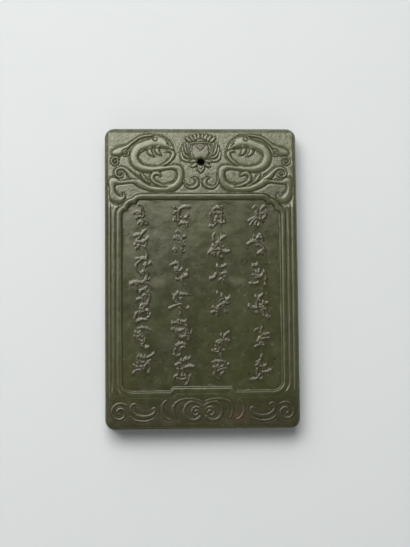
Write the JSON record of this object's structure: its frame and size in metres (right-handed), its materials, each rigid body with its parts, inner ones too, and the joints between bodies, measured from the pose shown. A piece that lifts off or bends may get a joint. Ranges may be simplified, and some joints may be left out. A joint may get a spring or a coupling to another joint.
{
  "type": "rectangular pendant",
  "caption": "Carved jade plaque pendant with a relief of two dragons and a lotus over a sunk inscription panel, drilled at the top for a cord.",
  "frame": {"origin": "on the surface the pendant lies on, under the middle of the plaque", "axes": "+Z out of the carved front, +Y towards the pendant's top edge with the cord hole, +X to the right as the front is read"},
  "size_m": [0.039, 0.061, 0.006],
  "materials": {
    "jade": "polished grey-green nephrite, waxy gloss, darker in the carved recesses"
  },
  "bodies": {
    "root": {"plaque": "jade"}
  },
  "joints": []
}
